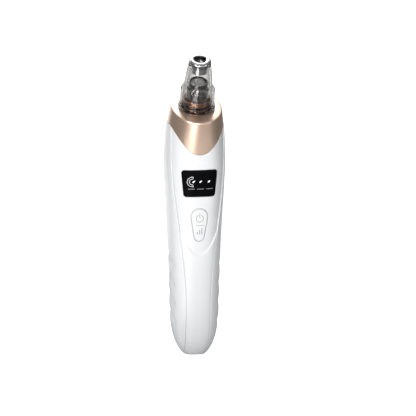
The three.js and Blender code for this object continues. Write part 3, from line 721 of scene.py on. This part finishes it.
def make_collar():
    turn = np.linspace(0, 2 * math.pi, 160, endpoint=False)
    low = collar_height(turn)
    rings = [skin(low, turn, WALL)]
    for off, inset in reversed(fillet(EDGE, WALL)[:-1]):
        rings.append(skin(low + off, turn, COLLAR_INSET + inset))
    for share in np.linspace(0, 1, 42)[1:]:
        rings.append(skin(low + EDGE + (CREASE - ROUND_OVER - low - EDGE) * share, turn, COLLAR_INSET))
    for wide, deep, level in collar_face():
        rings.append(head_point(wide * np.sin(turn), -deep * np.cos(turn), level))
    rings.append(skin(np.full_like(turn, CREASE - LIP_WALL), turn, WALL))
    rings.append(rings[0])
    points, faces = ring_stack(rings, cap_first=False, cap_last=False)
    collar = make_object("collar_shell", points, faces, GOLD, HANDLE, 50.0)
    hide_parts("collar")
    return collar


def collar_face():
    """(half width, half depth, level) rings: round the outer edge, across the flat face, down the hole."""
    wide, deep, _ = (float(v) for v in section(np.float64(CREASE - ROUND_OVER), 0.0))
    wide, deep = wide - COLLAR_INSET, deep - COLLAR_INSET
    rings = []
    for t in np.linspace(0, math.pi / 2, 8)[1:]:
        turn_in = 0.85 * (1 - math.cos(t))
        rings.append((wide - turn_in, deep - turn_in, -1.0 + 0.82 * math.sin(t)))
    face_wide, face_deep, face_level = rings[-1]
    for t in np.linspace(0, 1, 6)[1:]:
        rings.append((
            face_wide + (10.8 - face_wide) * t, face_deep + (10.8 - face_deep) * t,
            face_level * (1 - t) ** 2 - 0.02 * t,
        ))
    hole = SEAT_HOLE
    for out, level in ((0.3, 0.0), (0.08, -0.1), (0.0, -0.35), (0.0, -2.4)):
        rings.append((hole + out, hole + out, level))
    return rings


# ---- display and button -----------------------------------------------------------------
def make_lens():
    profile = [(0, 1.0), (0, 0.55), (-0.03, 0.45), (-0.1, 0.38), (-0.22, LENS_FACE)]
    centre = (0, (SCREEN["top"] + SCREEN["bottom"]) / 2)
    points, faces = front_pad(screen_outline, profile, centre, 0.0, 14)
    lens = make_object("display_window", points, faces, LENS, HANDLE, 50.0)
    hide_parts("display_lens")


def make_button():
    profile = [(0, 2.4), (0, 0.62), (-0.03, 0.42), (-0.12, 0.27), (-0.28, 0.18), (-0.5, BUTTON_FACE)]
    points, faces = front_pad(teardrop_outline, profile, (0, 76.4), 0.0, 12)
    button = make_object("button_teardrop", points, faces, BUTTON_WHITE, BUTTON, 50.0)
    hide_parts("button_cap")


def mark(name, outline, inset, material, body, slot, thickness=0.05):
    """A thin printed or lit shape lying on the front surface."""
    outline = np.asarray(outline, float)
    rings = [front(*outline.T, inset + thickness), front(*outline.T, inset)]
    points, faces = ring_stack(rings)
    return make_object(name, points, faces, material, body)


def ribbon(name, path, width, inset, material, body, slot, thickness=0.05):
    """A thin line of constant width along a path on the front surface."""
    path = np.asarray(path, float)
    along = np.gradient(path, axis=0)
    along /= np.linalg.norm(along, axis=1)[:, None]
    across = np.stack([-along[:, 1], along[:, 0]], axis=-1) * width / 2
    loop = [
        (path - across, inset), (path + across, inset),
        (path + across, inset + thickness), (path - across, inset + thickness),
    ]
    rings = np.stack([front(*flat.T, level) for flat, level in loop], axis=1)
    points, faces = ring_stack(list(rings))
    return make_object(name, points, faces, material, body)


def arc(centre, radius, start, end, steps=28):
    """Points along an arc, angles in degrees from +X towards +Z."""
    turn = np.radians(np.linspace(start, end, steps))
    return np.stack([centre[0] + radius * np.cos(turn), centre[1] + radius * np.sin(turn)], axis=-1)


def line(start, end, steps=10):
    return np.linspace(start, end, steps)


def leaf(x, z, length, width, lean):
    """A slanted drop outline."""
    points = []
    for k in range(24):
        t = 2 * math.pi * k / 24
        along = math.cos(t) * length / 2
        across = math.sin(t) * width / 2 * (1 - 0.45 * math.cos(t))
        points.append((
            x + along * math.cos(lean) - across * math.sin(lean),
            z + along * math.sin(lean) + across * math.cos(lean),
        ))
    return points


def spoke(turn):
    """Unit direction at an angle in degrees from +X towards +Z."""
    return np.array([math.cos(math.radians(turn)), math.sin(math.radians(turn))])


def make_marks():
    """White symbols under the window: a gauge, three drops and generic dashes in place of words."""
    level = LENS_FACE - 0.012
    gauge = np.array(GAUGE)
    bright = (level, MARK, HANDLE, "led_white")
    dim = (level, DIM_MARK, HANDLE, "led_white")
    for name, radius, start, end in (("outer", 2.72, 74, 286), ("inner", 1.55, 82, 278)):
        ribbon(f"mark_gauge_{name}", arc(gauge, radius, start, end), 0.15, *bright)
    for i, turn in enumerate((78, 282)):
        path = line(gauge + 1.5 * spoke(turn), gauge + 2.77 * spoke(turn))
        ribbon(f"mark_gauge_end_{i + 1}", path, 0.14, *bright)
    for i, turn in enumerate(range(100, 270, 32)):
        dot = gauge + 2.1 * spoke(turn)
        mark(f"mark_gauge_dot_{i + 1}", leaf(*dot, 0.5, 0.22, math.radians(turn)), *dim)
    for i, x in enumerate(DROPS):
        mark(f"mark_drop_{i + 1}", leaf(x, gauge[1] + 0.05, 1.75, 0.62, math.radians(40)), *bright)
    for i, x in enumerate(LABELS):
        for k, offset in enumerate((-1.5, -0.75, 0.0, 0.75, 1.5)):
            path = line((x + offset - 0.25, LABEL_Z), (x + offset + 0.25, LABEL_Z), 3)
            ribbon(f"mark_dash_{i + 1}_{k + 1}", path, 0.4, *dim)


def make_button_marks():
    """Grey print on the button: a power ring, a divider and generic stepped bars in place of a letter."""
    level = BUTTON_FACE - 0.012
    ink = (level, INK, BUTTON, "white_plastic")
    ribbon("mark_power_ring", arc(POWER, 1.95, 112, 428, 40), 0.34, *ink)
    ribbon("mark_power_tick", line((POWER[0], POWER[1] + 0.3), (POWER[0], POWER[1] + 2.9)), 0.32, *ink)
    ribbon("mark_divider", line((-2.3, 74.35), (2.5, 74.35), 16), 0.3, *ink)
    for i, (x, top) in enumerate(((-1.15, 70.9), (0.1, 71.9), (1.35, 72.9))):
        ribbon(f"mark_level_{i + 1}", line((x, 69.5), (x, top)), 0.5, *ink)


# ---- head -------------------------------------------------------------------------------
def make_head():
    shell = round_profile([
        (8.6, 0.3, 0.1), (10.2, 0.3, 0.5), (10.2, 1.5, 0.5), (9.75, 2.0, 0.4),
        (9.3, 11.9, 0.5), (7.9, 14.2, 0.6), (6.15, HEAD_TOP, 0.15), (4.75, HEAD_TOP, 0.1),
        (4.75, HEAD_TOP - 2.4, 0.2), (5.2, HEAD_TOP - 3.2, 0.4), (6.6, 14.2, 0.6), (8.1, 11.3, 0.6),
    ])
    head = lathe("suction_head_shell", shell, CLEAR, HEAD, 112, 45.0)
    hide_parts("suction_head")
    tip = round_profile([
        (3.7, SLEEVE_END, 0.1), (4.4, SLEEVE_END, 0.1), (4.4, BRIM, 0.05), (6.05, BRIM, 0.25),
        (6.15, BRIM + 0.9, 0.7), (4.9, BRIM + 1.85, 0.8), (3.1, BRIM + 1.55, 0.5), (3.1, BRIM + 0.3, 0.3),
        (3.7, BRIM - 0.4, 0.2),
    ], 6)
    metal = lathe("suction_tip_metal", tip, CHROME, HEAD, 112, 50.0)
    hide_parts("suction_tip")


def make_seat():
    seat = round_profile([
        (1.6, -9.0, 0.1), (2.5, -8.4, 0.1), (2.1, -7.4, 0.1), (2.1, -5.4, 0.1), (9.4, -5.4, 0.2),
        (9.4, -2.8, 0.2), (7.2, -2.8, 0.1), (7.2, 1.3, 0.1), (6.5, 1.3, 0.1), (6.5, 2.9, 0.1),
        (7.5, 2.9, 0.15), (7.5, 6.2, 0.4), (6.2, 6.8, 0.3), (6.0, 12.2, 0.6), (5.3, 13.4, 0.3),
        (5.3, 16.3, 0.2), (4.6, 16.3, 0.2), (4.6, 13.9, 0.2), (1.6, 13.4, 0.1),
    ], 3)
    piece = lathe("nozzle_seat_turned", seat, BROWN, HANDLE, 72, 35.0)
    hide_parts("nozzle_seat")


def make_seal():
    turn = np.linspace(0, 2 * math.pi, 20, endpoint=False)
    profile = [(7.4 + 0.6 * math.cos(t), 2.1 + 0.6 * math.sin(t)) for t in turn]
    piece = lathe("seat_seal_ring", profile, RUBBER, HANDLE, 72, 60.0)
    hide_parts("seat_seal")


def make_filter():
    """Domed open-cell plug in the seat's cup, slightly lumpy."""
    turn = np.linspace(0, 2 * math.pi, 64, endpoint=False)
    rings = [head_point(4.25 * np.sin(turn), -4.25 * np.cos(turn), 14.3)]
    for radius, level in ((4.3, 14.8), (4.15, 15.4), (3.5, 15.9), (2.6, 16.2), (1.6, 16.4), (0.7, 16.5)):
        wobble = 0.12 * np.sin(5 * turn + radius * 2.1) + 0.08 * np.sin(11 * turn - radius)
        rings.append(head_point(radius * np.sin(turn), -radius * np.cos(turn), level + wobble))
    points, faces = ring_stack(rings)
    piece = make_object("filter_plug", points, faces, FOAM, HANDLE, 70.0)
    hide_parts("filter_sponge")


# ---- CAD nodes that stay ----------------------------------------------------------------
def dress_cad():
    by_slot = {
        "white_plastic": WHITE, "rose_gold": GOLD, "black_lens": LENS, "smoked_clear": CLEAR,
        "chrome_tip": CHROME, "brown_clear": BROWN, "dark_rubber": RUBBER, "silicone": SILICONE,
        "foam": FOAM, "steel": STEEL, "ferrite": MAGNET, "copper": COPPER, "nylon": NYLON,
        "board": BOARD, "chip": CHIP, "led_white": LIGHT, "cell_wrap": CELL, "red_wire": RED,
        "black_wire": BLACK,
    }
    for part in frame["record"]["subparts"]:
        obj = frame["nodes"][part["node"]]
        obj.data.materials.clear()
        obj.data.materials.append(by_slot[part["material_slot"]])


# ---- camera, floor and light -------------------------------------------------------------
AZIMUTH, ELEVATION, DISTANCE = math.radians(-10.3), math.radians(10), 6.0
AIM = Vector((0.00756, -0.002, 0.08197))
VIEW_HEIGHT = 0.2300
SWEEP_GLOW, WORLD_GLOW = 0.74, 0.30


def make_camera():
    data = bpy.data.cameras.new("camera")
    data.sensor_width = 36
    data.lens = 36 * DISTANCE / VIEW_HEIGHT
    camera = bpy.data.objects.new("camera", data)
    bpy.context.scene.collection.objects.link(camera)
    flat = math.cos(ELEVATION)
    back = Vector((math.sin(AZIMUTH) * flat, -math.cos(AZIMUTH) * flat, math.sin(ELEVATION)))
    camera.location = AIM + back * DISTANCE
    camera.rotation_euler = back.to_track_quat("Z", "Y").to_matrix().to_euler()
    bpy.context.scene.camera = camera


def make_floor():
    """A pale, softly lit sweep: a flat floor that curves up into a wall far behind."""
    n = Nodes("studio_sweep")
    n.tint(n.noise(3, 2), (0.80, 0.80, 0.795), (0.82, 0.82, 0.815))
    n.rough(n.noise(40, 2), 0.75, 0.9)
    n.set(Emission_Color=(1, 1, 1, 1), Emission_Strength=SWEEP_GLOW)
    profile = [(-7.0, 0.0), (2.5, 0.0)]
    for t in np.linspace(0.1, math.pi / 2, 14):
        profile.append((2.5 + 1.5 * math.sin(t), 1.5 - 1.5 * math.cos(t)))
    profile += [(4.0, 6.0)]
    points = [(x, y, z) for y, z in profile for x in (-6.0, 6.0)]
    mesh = bpy.data.meshes.new("studio_sweep")
    mesh.from_pydata(points, [], grid_faces(len(profile), 2))
    mesh.materials.append(n.material)
    sweep = bpy.data.objects.new("studio_sweep", mesh)
    bpy.context.scene.collection.objects.link(sweep)
    mesh.polygons.foreach_set("use_smooth", [True] * len(mesh.polygons))


def make_light(name, place, target, size, energy, colour=(1, 1, 1)):
    data = bpy.data.lights.new(name, "AREA")
    data.shape, data.size, data.size_y = "RECTANGLE", size[0], size[1]
    data.energy, data.color = energy, colour
    lamp = bpy.data.objects.new(name, data)
    bpy.context.scene.collection.objects.link(lamp)
    lamp.location = place
    lamp.rotation_euler = (Vector(place) - Vector(target)).to_track_quat("Z", "Y").to_euler()


def make_card(name, place, target, size, shade, glow=0.0, through_glass=False):
    """A card for reflections and shading that casts no shadow.

    The camera never sees it directly. With through_glass it does show through the clear head.
    """
    n = Nodes(name)
    n.tint(n.noise(4, 2), (shade * 0.9,) * 3, (shade,) * 3)
    n.rough(n.noise(9, 2), 0.85, 0.95)
    n.set(Emission_Color=(1, 1, 1, 1), Emission_Strength=glow)
    w, h = size[0] / 2, size[1] / 2
    mesh = bpy.data.meshes.new(name)
    mesh.from_pydata([(-w, -h, 0), (w, -h, 0), (w, h, 0), (-w, h, 0)], [], [(0, 1, 2, 3)])
    mesh.materials.append(n.material)
    card = bpy.data.objects.new(name, mesh)
    bpy.context.scene.collection.objects.link(card)
    card.location = place
    card.rotation_euler = (Vector(place) - Vector(target)).to_track_quat("Z", "Y").to_euler()
    card.visible_camera = False
    card.visible_transmission = through_glass
    card.visible_shadow = False


def make_studio():
    world = bpy.data.worlds.new("studio")
    world.use_nodes = True
    world.node_tree.nodes["Background"].inputs["Color"].default_value = (1, 1, 1, 1)
    world.node_tree.nodes["Background"].inputs["Strength"].default_value = WORLD_GLOW
    bpy.context.scene.world = world
    middle = (0, 0, 0.09)
    make_light("key_left", (-0.85, -0.85, 0.62), middle, (0.22, 0.9), 7.4)
    make_light("fill_right", (0.95, -0.75, 0.45), middle, (0.3, 0.9), 1.4)
    make_light("front_low", (-0.28, -1.25, 0.12), (0, 0, 0.05), (0.3, 0.5), 5.4)
    make_light("top", (0.0, -0.1, 1.2), middle, (0.9, 0.9), 1.2)
    make_light("back_top", (0.05, 0.75, 1.05), (0, -0.02, 0.14), (0.5, 0.4), 3.0)
    make_card("card_left", (-0.27, 0.2, 0.12), (1, 0.2, 0.12), (0.8, 0.5), 0.10)
    make_card("card_right", (0.27, 0.2, 0.12), (-1, 0.2, 0.12), (0.8, 0.5), 0.10)
    make_card("card_below", (0, -0.08, 0.0004), (0, -0.08, -1), (0.72, 0.64), 0.46, 0.0, True)
    make_card("strip_below", (-0.10, -0.17, 0.0008), (-0.10, -0.17, -1), (0.11, 0.22), 0.8, 2.0, True)
    bpy.context.scene.view_settings.view_transform = "Standard"


# ---- build ------------------------------------------------------------------------------
make_camera()
make_floor()
make_studio()
dress_cad()
make_front_cover()
make_rear_shell()
make_collar()
make_lens()
make_button()
make_marks()
make_button_marks()
make_head()
make_seat()
make_seal()
make_filter()
